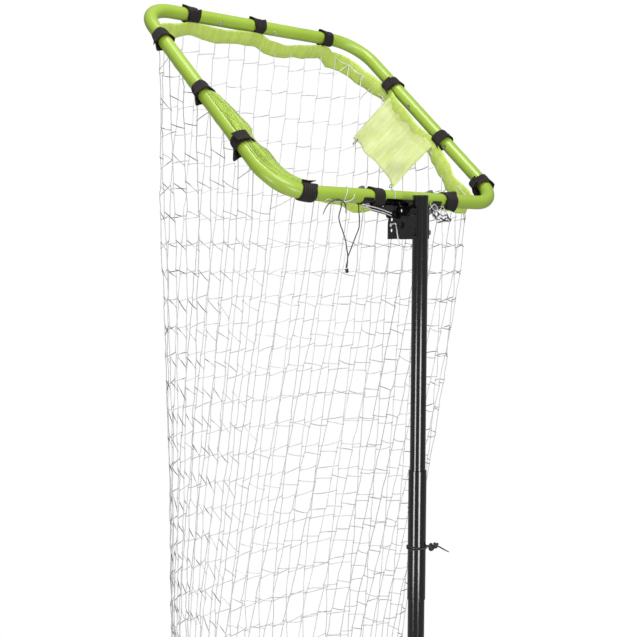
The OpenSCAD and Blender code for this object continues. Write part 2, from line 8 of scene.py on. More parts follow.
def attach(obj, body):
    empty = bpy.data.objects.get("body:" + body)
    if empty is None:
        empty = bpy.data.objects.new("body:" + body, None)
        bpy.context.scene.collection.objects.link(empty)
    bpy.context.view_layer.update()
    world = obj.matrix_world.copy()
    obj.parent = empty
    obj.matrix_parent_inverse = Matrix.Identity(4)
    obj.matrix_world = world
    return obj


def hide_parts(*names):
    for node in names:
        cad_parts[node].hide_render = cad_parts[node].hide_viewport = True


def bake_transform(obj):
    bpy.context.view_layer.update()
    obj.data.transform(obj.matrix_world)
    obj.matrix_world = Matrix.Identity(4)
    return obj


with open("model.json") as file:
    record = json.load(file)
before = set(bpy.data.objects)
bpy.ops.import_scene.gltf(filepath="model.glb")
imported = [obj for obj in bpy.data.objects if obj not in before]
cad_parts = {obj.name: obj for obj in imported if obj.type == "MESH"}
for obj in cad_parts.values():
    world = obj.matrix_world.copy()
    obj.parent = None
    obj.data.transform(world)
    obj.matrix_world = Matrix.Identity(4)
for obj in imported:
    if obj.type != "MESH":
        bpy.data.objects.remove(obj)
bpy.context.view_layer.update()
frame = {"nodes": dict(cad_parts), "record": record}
print("frame loaded:", len(frame["nodes"]), "nodes")

# camera
cameraSettings = {"place": (-1.7618, -1.9164, 1.8103), "turn": -40.7, "pitch": 2.88,
                  "roll": 0.37, "focalPixels": 1136.0, "widthPixels": 638.0, "sensor": 36.0,
                  "clip": (0.05, 60)}


def addObject(name, data):
    made = bpy.data.objects.new(name, data)
    bpy.context.scene.collection.objects.link(made)
    return made


def addCamera(s):
    turn, pitch, roll = (math.radians(s[key]) for key in ("turn", "pitch", "roll"))
    level = Vector((-math.sin(turn), math.cos(turn), 0))
    side = Vector((level.y, -level.x, 0))
    ahead = level * math.cos(pitch) + Vector((0, 0, -math.sin(pitch)))
    rise = side.cross(ahead)
    right = side * math.cos(roll) + rise * math.sin(roll)
    up = rise * math.cos(roll) - side * math.sin(roll)
    data = bpy.data.cameras.new("viewCamera")
    data.sensor_width = s["sensor"]
    data.lens = s["focalPixels"] / s["widthPixels"] * s["sensor"]
    data.clip_start, data.clip_end = s["clip"]
    camera = addObject("viewCamera", data)
    turned = Matrix((right, up, -ahead)).transposed().to_4x4()
    camera.matrix_world = Matrix.Translation(s["place"]) @ turned
    bpy.context.scene.camera = camera


addCamera(cameraSettings)
bpy.context.scene.view_settings.view_transform = "Standard"


# shader maths: a Signal is one output socket, and expressions on it add Math nodes
class Signal:
    def __init__(self, finish, socket):
        self.finish, self.socket = finish, socket

    def maths(self, operation, a, b=0.0, clamp=False):
        return self.finish.node("ShaderNodeMath", {"operation": operation, "use_clamp": clamp},
                                {0: a, 1: b})

    def __add__(self, other): return self.maths("ADD", self, other)
    def __radd__(self, other): return self.maths("ADD", other, self)
    def __sub__(self, other): return self.maths("SUBTRACT", self, other)
    def __rsub__(self, other): return self.maths("SUBTRACT", other, self)
    def __mul__(self, other): return self.maths("MULTIPLY", self, other)
    def __rmul__(self, other): return self.maths("MULTIPLY", other, self)
    def __truediv__(self, other): return self.maths("DIVIDE", self, other)
    def __pow__(self, other): return self.maths("POWER", self, other)
    def wave(self): return self.maths("SINE", self)
    def clamped(self): return self.maths("ADD", self, 0.0, True)


class Finish:
    def __init__(self, name, **fixed):
        self.material = bpy.data.materials.new(name)
        self.material.use_nodes = True
        self.tree = self.material.node_tree
        self.tree.nodes.clear()
        self.shader = self.tree.nodes.new("ShaderNodeBsdfPrincipled")
        for key, value in fixed.items():
            self.shader.inputs[key.replace("_", " ")].default_value = value
        self.out = self.tree.nodes.new("ShaderNodeOutputMaterial")
        self.tree.links.new(self.shader.outputs[0], self.out.inputs["Surface"])

    def node(self, kind, settings=None, sockets=None, output=0):
        made = self.tree.nodes.new(kind)
        for key, value in (settings or {}).items():
            if key == "stops":
                for stop, (place, colour) in zip(made.color_ramp.elements, value):
                    stop.position, stop.color = place, colour
            else:
                setattr(made, key, value)
        for key, value in (sockets or {}).items():
            if isinstance(value, Signal):
                self.tree.links.new(value.socket, made.inputs[key])
            else:
                made.inputs[key].default_value = value
        return Signal(self, made.outputs[output])

    def feed(self, name, signal):
        self.tree.links.new(signal.socket, self.shader.inputs[name])

    def place(self):
        return self.node("ShaderNodeTexCoord", output="Object")

    def uv(self):
        return self.node("ShaderNodeUVMap", {"uv_map": "weave"})

    def split(self, vector):
        made = self.node("ShaderNodeSeparateXYZ", None, {0: vector})
        return [Signal(self, socket) for socket in made.socket.node.outputs]

    def speckle(self, size, detail=3.0, at=None, rough=0.55):
        return self.node("ShaderNodeTexNoise", {"noise_dimensions": "3D"},
                         {"Vector": at or self.place(), "Scale": 1.0 / size, "Detail": detail,
                          "Roughness": rough})

    def drawn(self, across, along):
        # the cloth's own places, pulled out so that marks run across or along it
        return self.node("ShaderNodeVectorMath", {"operation": "MULTIPLY"},
                         {0: self.uv(), 1: (1.0 / across, 1.0 / along, 1.0)})

    def cells(self, size, at=None):
        return self.node("ShaderNodeTexVoronoi", None,
                         {"Vector": at or self.place(), "Scale": 1.0 / size})

    def blendColour(self, factor, a, b):
        return self.node("ShaderNodeMix", {"data_type": "RGBA"}, {0: factor, 6: a, 7: b}, 2)

    def surface(self, colour, roughness, height, depth, strength):
        self.feed("Base Color", colour)
        self.feed("Roughness", roughness)
        self.feed("Normal", self.node("ShaderNodeBump", None, {
            "Strength": strength, "Distance": depth, "Height": height}))
        return self.material


def tint(red, green, blue):
    def linear(c):
        c /= 255
        return c / 12.92 if c <= 0.04045 else ((c + 0.055) / 1.055) ** 2.4
    return (linear(red), linear(green), linear(blue), 1.0)


def limePaint():
    f = Finish("limePaint", Coat_Weight=0.16, Coat_Roughness=0.3, Specular_IOR_Level=0.5)
    peel = f.speckle(0.0045, 2.0)
    cloud = f.speckle(0.16, 2.0)
    shade = f.blendColour(cloud, tint(134, 161, 46), tint(154, 182, 66))
    dust = ((f.speckle(0.0016, 1.0) - 0.66) * 9).clamped()
    return f.surface(f.blendColour(dust * 0.25, shade, tint(206, 226, 140)),
                     peel * 0.1 + 0.3, peel, 0.00022, 0.55)


def glossBlack():
    f = Finish("glossBlack", Coat_Weight=0.5, Coat_Roughness=0.12, Specular_IOR_Level=0.55)
    peel = f.speckle(0.004, 2.0)
    scuff = ((f.speckle(0.03, 5.0) - 0.62) * 5).clamped()
    return f.surface(f.blendColour(scuff * 0.35, tint(6, 6, 7), tint(22, 22, 24)),
                     peel * 0.06 + scuff * 0.1 + 0.12, peel, 0.00018, 0.5)


def oxideSteel():
    f = Finish("oxideSteel", Metallic=0.8)
    grain = f.speckle(0.0012, 4.0)
    return f.surface(f.blendColour(grain, tint(34, 33, 34), tint(72, 70, 70)),
                     grain * 0.25 + 0.32, grain, 0.0001, 0.4)


def zincPlate():
    f = Finish("zincPlate", Metallic=1.0)
    grain = f.speckle(0.0015, 4.0)
    spangle = f.cells(0.004)
    return f.surface(f.blendColour(spangle, tint(168, 170, 174), tint(206, 206, 204)),
                     grain * 0.22 + 0.2, grain, 0.00008, 0.4)


def mouldedPlastic():
    f = Finish("mouldedPlastic", Specular_IOR_Level=0.4)
    grain = f.cells(0.0011)
    return f.surface(f.blendColour(f.speckle(0.02), tint(22, 22, 24), tint(36, 36, 38)),
                     grain * 0.2 + 0.42, grain, 0.00012, 0.7)


def mouldedRubber():
    f = Finish("mouldedRubber", Specular_IOR_Level=0.25)
    grain = f.speckle(0.0014, 3.0)
    dust = ((f.speckle(0.02, 4.0) - 0.5) * 2.5).clamped()
    return f.surface(f.blendColour(dust * 0.5, tint(24, 24, 25), tint(60, 58, 56)),
                     grain * 0.12 + 0.72, grain, 0.0002, 0.8)


def strapWeb():
    f = Finish("strapWeb", Sheen_Weight=0.04, Sheen_Roughness=0.6, Specular_IOR_Level=0.1)
    across, along, _ = f.split(f.uv())
    ribs = (across * 1500 + (along * 260).wave() * 1.2).wave() * 0.5 + 0.5
    fuzz = f.speckle(0.0011, 3.0)
    shade = f.blendColour(fuzz, tint(9, 8, 8), tint(34, 30, 31))
    return f.surface(f.blendColour(ribs ** 3 * fuzz, shade, tint(76, 68, 66)),
                     fuzz * 0.15 + 0.78, ribs * 0.8 + fuzz, 0.0007, 0.9)


def sheerLime(name, alpha, pale, deep):
    f = Finish(name, Sheen_Weight=0.2, Sheen_Roughness=0.5, Specular_IOR_Level=0.2,
               Subsurface_Weight=0.55, Subsurface_Radius=(0.006, 0.008, 0.003),
               Subsurface_Scale=1.0, Alpha=alpha)
    across, along, _ = f.split(f.uv())
    warp = (across * 3100).wave() * 0.5 + 0.5
    weft = (along * 3100).wave() * 0.5 + 0.5
    cloud = f.speckle(0.03, 3.0)
    # crease marks bump the cloth and also lighten or darken its colour: painted crease shading
    creaseBumpAndShading = ((f.speckle(0.012, 3.0, f.drawn(6.0, 1.0)) - 0.5) * 5 + 0.5).clamped()
    # pull streaks bump the laid cloth and also paint highlight lines along it
    pull = ((f.speckle(0.006, 2.0, f.drawn(1.0, 16.0)) - 0.5) * 4 + 0.5).clamped()
    # cloth that lies on the tube, with the paint behind it, is painted a darker green as shade,
    # streaked with painted highlights along it
    laid = f.node("ShaderNodeAttribute", {"attribute_name": "laid"}, output="Fac")
    hung = f.blendColour((cloud * 0.5 + creaseBumpAndShading * 0.5 + warp * weft * 0.2).clamped(), deep, pale)
    laidShadeAndHighlights = f.blendColour(pull, tint(118, 146, 38), tint(160, 188, 72))
    return f.surface(f.blendColour(laid, hung, laidShadeAndHighlights), cloud * 0.15 + 0.62,
                     warp * weft * 0.3 + creaseBumpAndShading * (1 - laid) + pull * laid, 0.0008, 0.7)


def netTwine():
    f = Finish("netTwine", Sheen_Weight=0.15, Specular_IOR_Level=0.25)
    lay = f.speckle(0.0016, 2.0)
    # the shade attribute paints grey shade onto the white twine, most on links to the front left
    # and beside the mast's right
    shade = f.node("ShaderNodeAttribute", {"attribute_name": "shade"}, output="Fac")
    pale = f.blendColour(lay, tint(206, 206, 210), tint(240, 240, 241))
    return f.surface(f.blendColour(shade, pale, tint(70, 70, 74)), lay * 0.2 + 0.55, lay,
                     0.0005, 0.8)


def braidedCord(name, dark, light, pitch=0.0032):
    f = Finish(name, Sheen_Weight=0.2, Specular_IOR_Level=0.3)
    around, along, _ = f.split(f.uv())
    turns = 2 * math.pi / pitch
    plait = ((along * turns + around * 25.13).wave() * (along * turns - around * 25.13).wave())
    return f.surface(f.blendColour((plait * 0.5 + 0.5).clamped(), dark, light),
                     f.speckle(0.001) * 0.2 + 0.55, plait, 0.0004, 0.7)


finishes = {"lime_paint": limePaint(), "black_paint": glossBlack(), "black_steel": oxideSteel(),
            "zinc": zincPlate(), "black_plastic": mouldedPlastic(),
            "black_rubber": mouldedRubber(), "strap_black": strapWeb(),
            "lime_fabric": sheerLime("limeBand", 0.93, tint(192, 217, 106), tint(168, 198, 76)),
            "twine": netTwine(),
            "black_cord": braidedCord("blackCord", tint(16, 16, 17), tint(52, 51, 52))}
flapMesh = sheerLime("flapMesh", 0.66, tint(230, 244, 168), tint(196, 222, 104))
whiteCord = braidedCord("whiteCord", tint(188, 189, 192), tint(238, 238, 238))
for part in frame["record"]["subparts"]:
    node = frame["nodes"][part["node"]]
    for slot in node.material_slots:
        slot.material = finishes[part["material_slot"]]
print("finishes made:", len(finishes) + 2)


# mesh helpers
def makePiece(name, points, faces, material, uvs=None, smooth=True):
    mesh = bpy.data.meshes.new(name)
    mesh.from_pydata([tuple(p) for p in points], [], faces)
    if uvs is not None:
        layer = mesh.uv_layers.new(name="weave")
        for loop in mesh.loops:
            layer.data[loop.index].uv = uvs[loop.vertex_index]
    mesh.polygons.foreach_set("use_smooth", [smooth] * len(mesh.polygons))
    mesh.materials.append(material)
    mesh.update()
    return addObject(name, mesh)


def smoothPath(points, steps=4, closed=False):
    points = [Vector(p) for p in points]
    count = len(points)
    path = []
    for i in range(count if closed else count - 1):
        if closed:
            a, b, c, d = (points[(i + k - 1) % count] for k in range(4))
        else:
            a, b = points[max(i - 1, 0)], points[i]
            c, d = points[i + 1], points[min(i + 2, count - 1)]
        for k in range(steps):
            t = k / steps
            path.append(0.5 * (2 * b + (c - a) * t + (2 * a - 5 * b + 4 * c - d) * t * t
                               + (3 * b - a - 3 * c + d) * t ** 3))
    if not closed:
        path.append(points[-1])
    return path


def pathLength(path):
    return sum((b - a).length for a, b in zip(path, path[1:]))


def tubeMesh(path, radius, sides=8, closed=False):
    count = len(path)
    ways = [((path[(i + 1) % count] if closed or i + 1 < count else path[i])
             - (path[i - 1] if closed or i else path[i])).normalized() for i in range(count)]
    side = ways[0].orthogonal().normalized()
    points, uvs, along = [], [], 0.0
    for i, (p, way) in enumerate(zip(path, ways)):
        side = (side - way * side.dot(way)).normalized()
        other = way.cross(side)
        along += (p - path[i - 1]).length if i else 0.0
        r = radius(i / (count - 1)) if callable(radius) else radius
        for k in range(sides):
            a = 2 * math.pi * k / sides
            points.append(p + (side * math.cos(a) + other * math.sin(a)) * r)
            uvs.append((k / sides, along))
    faces = []
    for i in range(count if closed else count - 1):
        j = (i + 1) % count
        for k in range(sides):
            m = (k + 1) % sides
            faces.append((i * sides + k, i * sides + m, j * sides + m, j * sides + k))
    if not closed:
        faces.append(tuple(reversed(range(sides))))
        faces.append(tuple(range((count - 1) * sides, count * sides)))
    return points, faces, uvs


def between(table, x, eased=False):
    # what a table says at x, where each row starts with its own x
    if x <= table[0][0]:
        return table[0][1:]
    for a, b in zip(table, table[1:]):
        if x <= b[0]:
            t = (x - a[0]) / (b[0] - a[0])
            if eased:
                t = t * t * (3 - 2 * t)
            return tuple(p + (q - p) * t for p, q in zip(a[1:], b[1:]))
    return table[-1][1:]


def joinMeshes(parts):
    points, faces, uvs = [], [], []
    for p, f, u in parts:
        base = len(points)
        points += list(p)
        uvs += list(u)
        faces += [tuple(i + base for i in face) for face in f]
    return points, faces, uvs


def knotMesh(centre, size, radius, turned=0.0):
    loop = []
    for i in range(48):
        t = 2 * math.pi * i / 48
        p = Vector((math.sin(t) + 2 * math.sin(2 * t), math.cos(t) - 2 * math.cos(2 * t),
                    -1.3 * math.sin(3 * t))) * (size / 3)
        loop.append(Vector(centre) + Matrix.Rotation(turned, 3, "X") @ p)
    return tubeMesh(loop, radius, 7, True)


def clothMesh(grid, thick, closed=False):
    # grid[i][j]: i runs along the cloth, j across it
    rows, cols = len(grid), len(grid[0])
    front, back, uvs = [], [], []
    along = 0.0
    for i in range(rows):
        if i:
            along += (grid[i][0] - grid[i - 1][0]).length
        across = 0.0
        for j in range(cols):
            after = grid[(i + 1) % rows if closed else min(i + 1, rows - 1)][j]
            before = grid[i - 1 if closed or i else 0][j]
            up, down = grid[i][min(j + 1, cols - 1)], grid[i][max(j - 1, 0)]
            normal = (after - before).cross(up - down).normalized()
            if j:
                across += (grid[i][j] - grid[i][j - 1]).length
            front.append(grid[i][j] + normal * thick / 2)
            back.append(grid[i][j] - normal * thick / 2)
            uvs.append((across, along))
    points = front + back
    off = rows * cols
    faces = []
    for i in range(rows if closed else rows - 1):
        k = (i + 1) % rows
        for j in range(cols - 1):
            a, b, c, d = i * cols + j, k * cols + j, k * cols + j + 1, i * cols + j + 1
            faces.append((a, b, c, d))
            faces.append((a + off, d + off, c + off, b + off))
        a, b = i * cols, k * cols
        faces.append((a, a + off, b + off, b))
        a, b = i * cols + cols - 1, k * cols + cols - 1
        faces.append((a, b, b + off, a + off))
    if not closed:
        for j in range(cols - 1):
            faces.append((j, j + 1, j + 1 + off, j + off))
            a = (rows - 1) * cols + j
            faces.append((a, a + off, a + 1 + off, a + 1))
    return points, faces, uvs + uvs


# hoop places: x across, s up the slope, n square to the hoop; all in metres
hoopPlace = {"slope": 41.0, "lowSide": (0.0, -0.134, 1.950), "half": 0.3425, "tube": 0.016,
             "bend": 0.090}
slopeAngle = math.radians(hoopPlace["slope"])
upSlope = Vector((0, math.cos(slopeAngle), math.sin(slopeAngle)))
hoopNormal = Vector((0, -math.sin(slopeAngle), math.cos(slopeAngle)))


def onHoop(x, s, n):
    return Vector(hoopPlace["lowSide"]) + Vector((x, 0, 0)) + upSlope * s + hoopNormal * n


def onSide(k, x, inward, n):
    # sides: 0 low, 1 right, 2 high, 3 left; x runs along the side
    c, s = ((1, 0), (0, 1), (-1, 0), (0, -1))[k]
    y = inward - hoopPlace["half"]
    return onHoop(c * x - s * y, hoopPlace["half"] + s * x + c * y, n)


def aroundTube(k, x, radius, angle):
    # a place round the tube's centre line; past the end of the side it follows the bend
    inward, n = math.cos(angle) * radius, math.sin(angle) * radius
    bend = hoopPlace["bend"]
    past = abs(x) - (hoopPlace["half"] - bend)
    if past <= 0:
        return onSide(k, x, inward, n)
    out = (bend - inward) * math.sin(past / bend)
    return onSide(k, math.copysign(hoopPlace["half"] - bend + out, x),
                  bend - (bend - inward) * math.cos(past / bend), n)


# cords
# a knot is its centre, size, thickness and turn; routes are in millimetres
drawSettings = {"radius": 0.0012, "knot": ((-0.158, -0.1405, 1.7915), 0.0042, 0.0014, 1.2),
                "route": [
    (-122, -137, 1934), (-122, -137, 1920), (-120, -137, 1904), (-121, -138, 1888),
    (-124, -138, 1877), (-131, -138, 1864), (-140, -138, 1846), (-148, -138, 1830),
    (-153, -138, 1820), (-154, -138, 1810), (-155, -138, 1801), (-158, -139, 1797),
    (-160, -141, 1801), (-158, -142, 1811), (-157, -142, 1823), (-160, -142, 1838),
    (-164, -142, 1856), (-172, -142, 1874), (-178, -141, 1888), (-181, -140, 1902),
    (-177, -139, 1915), (-173, -138, 1924), (-172, -137, 1934)]}
# the draw cord's free ends
drawTails = {
    "drawTailLeft": [(-194, -153, 1937), (-207, -154, 1936), (-218, -154, 1931),
                     (-227, -154, 1923), (-233, -154, 1914), (-237, -154, 1906)],
    "drawTailRight": [(-197, -153, 1938), (-187, -153, 1937), (-179, -153, 1933),
                      (-174, -153, 1926), (-173, -153, 1917), (-174, -153, 1911)]}
laceSettings = {"radius": 0.0013, "route": [
    (-13, -129, 1890), (-18, -129, 1890), (-22, -130, 1890), (-22, -139, 1893),
    (-22, -146, 1893), (-22, -150, 1885), (-22, -152, 1872), (-22, -155, 1861),
    (-22, -161, 1848), (-22, -170, 1839), (-22, -180, 1836), (-18, -189, 1839),
    (-11, -184, 1843), (-3, -181, 1847), (5, -181, 1851), (12, -184, 1855)]}
tieSettings = {"radius": 0.0016, "height": 1.190, "ring": 0.0214, "mast": -0.2,
              "apart": 0.0017, "wave": 0.0012,
              "knots": (((0.0225, -0.2200, 1.190), 0.0075, 0.0026, 0.7),
                        ((0.0305, -0.2270, 1.1935), 0.0058, 0.0024, 2.0)),
              "tail": [(30, -227, 1194), (37, -233, 1190), (45, -240, 1184), (53, -246, 1179)]}


def millimetres(route):
    return [Vector(p) / 1000 for p in route]


def strandTubes(s):
    return [tubeMesh(smoothPath(millimetres(strand), 4), s["radius"], 6)
            for strand in s["strands"]]


def addTrim(name, parts, body, material, slotName, *nodes):
    points, faces, uvs = joinMeshes(parts)
    piece = makePiece(name, points, faces, material, uvs)
    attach(piece, body)
    if nodes:
        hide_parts(*nodes)
    return piece


def addCord(name, s, body, node, material, slotName):
    path = smoothPath(millimetres(s["route"]), 5)
    piece = addTrim(name, [tubeMesh(path, s["radius"], 8)], body, material, slotName, node)
    round(pathLength(path), 3)


def addTail(name, body, route, radius, taper=0.45):
    path = smoothPath(millimetres(route), 6)
    tail = addTrim(name, [tubeMesh(path, lambda t: radius * (1 - taper * t ** 3), 8)], body,
                   blackCord, "black_cord")
    round(pathLength(path), 3)


blackCord = finishes["black_cord"]
drawKnot = addTrim("drawKnot", [knotMesh(*drawSettings["knot"])], "hoop", blackCord,
                   "black_cord", "draw_knot")
addCord("drawCord", drawSettings, "hoop", "draw_cord", blackCord, "black_cord")
addCord("netLace", laceSettings, "upper_mast", "net_lace", whiteCord, "twine")


# white twine ties: rings round the low tube as (x, lean), and loose strands beside them
netTieSettings = {"radius": 0.0009, "lift": 0.0014, "rings": ((-160, 12), (-24, 6)), "strands": (
    ((-147, -151, 1952), (-152, -152, 1942), (-166, -152, 1936), (-184, -150, 1934),
     (-200, -148, 1935), (-214, -146, 1939), (-224, -146, 1935)),
    ((-131, -158, 1931), (-108, -159, 1927), (-88, -159, 1924), (-64, -159, 1919),
     (-44, -158, 1914)),
    ((-129, -158, 1926), (-106, -159, 1921), (-89, -160, 1918), (-66, -159, 1914),
     (-46, -158, 1909)),
    ((61, -152, 1919), (74, -153, 1925), (84, -154, 1934), (93, -153, 1939), (104, -152, 1930),
     (96, -154, 1922), (83, -155, 1916), (92, -156, 1906), (113, -155, 1903), (131, -153, 1901),
     (141, -152, 1908), (135, -153, 1920), (119, -154, 1927), (109, -156, 1918),
     (124, -156, 1913), (146, -152, 1900)),
    ((80, -152, 1940), (88, -155, 1927), (101, -157, 1923), (116, -156, 1935),
     (126, -153, 1925), (118, -155, 1912), (100, -157, 1911), (90, -154, 1919)))}


def netTieRings(s):
    rings, tube = [], hoopPlace["tube"] + s["lift"]
    for x, lean in s["rings"]:
        ring = []
        for i in range(36):
            a = 2 * math.pi * i / 36
            ring.append(Vector((x / 1000 + lean / 1000 * math.cos(a - 0.6),
                                hoopPlace["lowSide"][1] + tube * math.cos(a),
                                hoopPlace["lowSide"][2] + tube * math.sin(a))))
        rings.append(tubeMesh(ring, s["radius"], 6, True))
    return rings


addTrim("netTies", netTieRings(netTieSettings) + strandTubes(netTieSettings), "hoop", whiteCord,
        "twine")

# black cord tangled in the loose strands
tangleSettings = {"radius": 0.0017, "strands": (
    ((74, -150, 1930), (80, -152, 1933), (90, -153, 1928), (85, -154, 1920), (93, -154, 1912),
     (106, -154, 1915), (101, -153, 1924), (92, -154, 1919), (98, -153, 1908), (110, -153, 1904)),
    ((112, -152, 1911), (124, -153, 1905), (142, -152, 1903), (149, -151, 1906),
     (134, -153, 1910), (118, -154, 1902), (104, -153, 1899)),
    ((112, -151, 1919), (122, -153, 1914), (132, -153, 1917), (140, -152, 1911)))}
addTrim("tangle", strandTubes(tangleSettings), "hoop", blackCord, "black_cord")


def tieTurns(s):
    # two turns round the clamp sleeve, one above the other
    turns = []
    for rise in (-s["apart"], s["apart"]):
        ring = [Vector((s["ring"] * math.cos(a), s["mast"] + s["ring"] * math.sin(a),
                        s["height"] + rise + s["wave"] * math.sin(2 * a + rise * 900)))
                for a in (2 * math.pi * i / 48 for i in range(48))]
        turns.append(tubeMesh(ring, s["radius"], 8, True))
    turns += [knotMesh(*knot) for knot in s["knots"]]
    return turns


addTrim("tieTurns", tieTurns(tieSettings), "base", blackCord, "black_cord", "tie_cord")
addTail("tieTail", "base", tieSettings["tail"], tieSettings["radius"])
for name, route in drawTails.items():
    addTail(name, "hoop", route, drawSettings["radius"])
print("cords laid")


# straps
# side, place along it, angle of the end, skew of the end, tail length in degrees, flare of one
# edge in millimetres, corners that stand out as (angle, millimetres), whose signs choose the
# edge, with a share of that as lift, and a bulge over the folded band as (angle, millimetres)
strapSettings = {"width": 0.0315, "thick": 0.0029, "inner": 0.0164, "steps": 70,
                 "climbFrom": 318, "climbOver": 40, "freeOver": 34, "ripple": 0.00022,
                 "cornerWidth": 24, "cornerLift": 0.35, "bulgeWidth": 32, "straps": {
    "strap_back_1": (0, 0.148, 200, 0.5, 62, 1.6, ((75, 8), (215, -6))),
    "strap_back_2": (0, -0.072, 235, -0.3, 46, -1.0, ((60, -6),)),
    "strap_back_3": (0, -0.266, 60, 0.2, 30, 0.3, ((75, 9, 0.05), (262, 8, 0.02))),
    "strap_right_1": (1, 0.145, 40, 0.4, 50, -2.4, ((297, -5), (117, -2)), (335, 8)),
    "strap_right_2": (1, -0.087, 70, -0.4, 58, -2.8, ((300, -6),), (335, 6)),
    "strap_right_3": (1, -0.267, 20, 0.4, 64, -3.0, ((297, -9), (117, -5)), (335, 8)),
    "strap_front_1": (2, 0.200, 60, -0.6, 60, 1.0, ((118, 7),)),
    "strap_front_2": (2, 0.0, 75, -0.4, 48, 1.5, ((118, 7),)),
    "strap_front_3": (2, -0.230, 55, 0.6, 72, 1.5, ((118, 7),)),
    "strap_left_1": (3, 0.187, 150, -0.4, 66, 2.8, ((52, -3), (228, 10, 1.3)), (38, 5)),
    "strap_left_2": (3, 0.0, 175, 0.5, 52, 2.8, ((52, 5), (228, 7, 1.1))),
    "strap_left_3": (3, -0.207, 190, 0.6, 60, 2.8, ((52, 4), (228, 6, 0.9)))}}


def turnedBy(angle, at):
    # degrees from one place round the tube to another, between -180 and 180
    return (math.degrees(angle) - at + 180) % 360 - 180


def strapMesh(s, side, x, endAngle, skew, tail, flare, corners, *more):
    bulgeAt, bulge = more[0] if len(more) > 1 else (0, 0)
    phase = random.Random(more[-1]).uniform(0, 6)
    steps, half, thick = s["steps"], s["width"] / 2, s["thick"]
    total = 360 + tail
    points, uvs, ring = [], [], 14
    along = 0.0
    for i in range(steps + 1):
        turn = total * i / steps
        # the strap starts under itself and climbs one thickness before it overlaps
        climb = min(max((turn - s["climbFrom"]) / s["climbOver"], 0), 1)
        climb = climb * climb * (3 - 2 * climb) * (thick + 0.0003)
        free = max((turn - total + s["freeOver"]) / s["freeOver"], 0)
        r = s["inner"] + climb + s["ripple"] * (1 + math.sin(math.radians(turn) * 4 + phase))
        angle = math.radians(endAngle - total + turn)
        w = half * (1 - 0.1 * free ** 1.6)
        drift = skew * 0.006 * max(turn - 250, 0) / 150 + 0.0005 * math.sin(turn / 40 + phase)
        along += r * math.radians(total / steps)
        for j in range(ring):
            # seven points out along the face, seven back along the inside
            outer = j < 7
            t = (j if outer else 13 - j) / 6 * 2 - 1
            edge = 1 - 0.55 * abs(t) ** 6
            curl = 0.0005 * abs(t) ** 3 * (1 if turn > 330 else 0.3)
            # one corner of the loose end stands further out and reaches further round
            horn = free ** 2 * (0.0024 + 0.0045 * max(t * skew, 0))
            rr = r + curl + horn + (thick * (0.5 + 0.5 * edge) if outer
                                    else thick * (0.5 - 0.5 * edge))
            bent = angle + free * t * skew * 0.2
            out = 0.001 * abs(flare) * max(t * flare / abs(flare), 0) ** 1.4
            out += 0.001 * bulge * math.exp(-(turnedBy(bent, bulgeAt) / s["bulgeWidth"]) ** 2)
            slide = 0.0
            for at, size, *lift in corners:
                near = math.exp(-(turnedBy(bent, at) / s["cornerWidth"]) ** 2)
                pull = 0.001 * size * near * max(math.copysign(t, t * size), 0)
                out += (lift[0] if lift else s["cornerLift"]) * abs(pull)
                slide += pull
            points.append(aroundTube(side, x + drift + slide + t * w, rr + out, bent))
            uvs.append((t * w, along))
    faces = []
    for i in range(steps):
        for j in range(ring):
            k = (j + 1) % ring
            faces.append((i * ring + j, (i + 1) * ring + j, (i + 1) * ring + k, i * ring + k))
    faces.append(tuple(range(ring)))
    faces.append(tuple(reversed(range(steps * ring, (steps + 1) * ring))))
    return points, faces, uvs


for number, (nodeName, shape) in enumerate(strapSettings["straps"].items()):
    parts = [strapMesh(strapSettings, *shape, number)]
    names = nodeName.split("_")
    addTrim(names[0] + names[1].title() + names[2], parts, "hoop", finishes["strap_black"],
            "strap_black", nodeName)
print("straps wrapped")


# band
# for each side: place along it, top edge, bottom edge and inward shift, all in millimetres, and
# how far the upper half is folded over onto the tube. A fold starts on the tube's crown, at
# foldStart inward and foldTop up, bows up by foldBow and comes off the tube at foldOff
bandSettings = {"thick": 0.0011, "corner": 0.0708, "inner": 0.0192, "across": 9,
                # a ripple is its depth, waves along, shift from side to side and waves down
                "ripples": ((0.0016, 61, 2, 1.7), (0.0011, 137, 1, 3.1)),
                "belly": 0.004, "foldStart": -0.008, "foldReach": 0.013, "foldTop": 0.0152,
                "foldFall": 0.0115, "foldBow": 0.0128, "foldOff": 0.005, "sides": [
    [(-252, 8, -34, 12, 0.8), (-215, -8, -36, 5, 0.2), (-190, -14, -39, 3), (-142, -12, -42, 2),
     (-84, -8, -62, 2), (-56, -6, -58, 0), (-20, -6, -38, 0), (40, -15, -46, 3),
     (148, -6, -38, 0), (200, -15, -47, 2), (252, -20, -52, 6)],
    [(-252, -26, -66, 8), (-200, -30, -72, 8), (-160, -19, -62, 3), (-120, -13, -55, 1),
     (-82, -6, -47, 0), (-10, -13, -53, 3), (60, -9, -49, 3), (145, -4, -44, 0),
     (200, -12, -56, 3), (252, -22, -66, 6)],
    [(-252, -22, -68, 6), (-230, -9, -50, 0), (-150, -17, -56, 3), (-100, -26, -64, 4),
     (-50, -20, -60, 3), (-5, -7, -46, 0), (50, -6, -44, 2), (100, -12, -52, 3),
     (195, -7, -44, 0), (252, -16, -60, 6)],
    [(-252, -14, -46, 6), (-215, 0, -32, 1), (-100, -2, -34, 4), (-8, 4, -28, 1, 0.3),
     (22, 9, -30, 0, 1), (90, 12, -30, 8, 1), (150, 14, -30, 14, 1), (174, 9, -30, 6, 1),
     (200, 9, -30, 6, 1), (228, 14, -30, 13, 1), (252, 14, -32, 14, 1)]]}


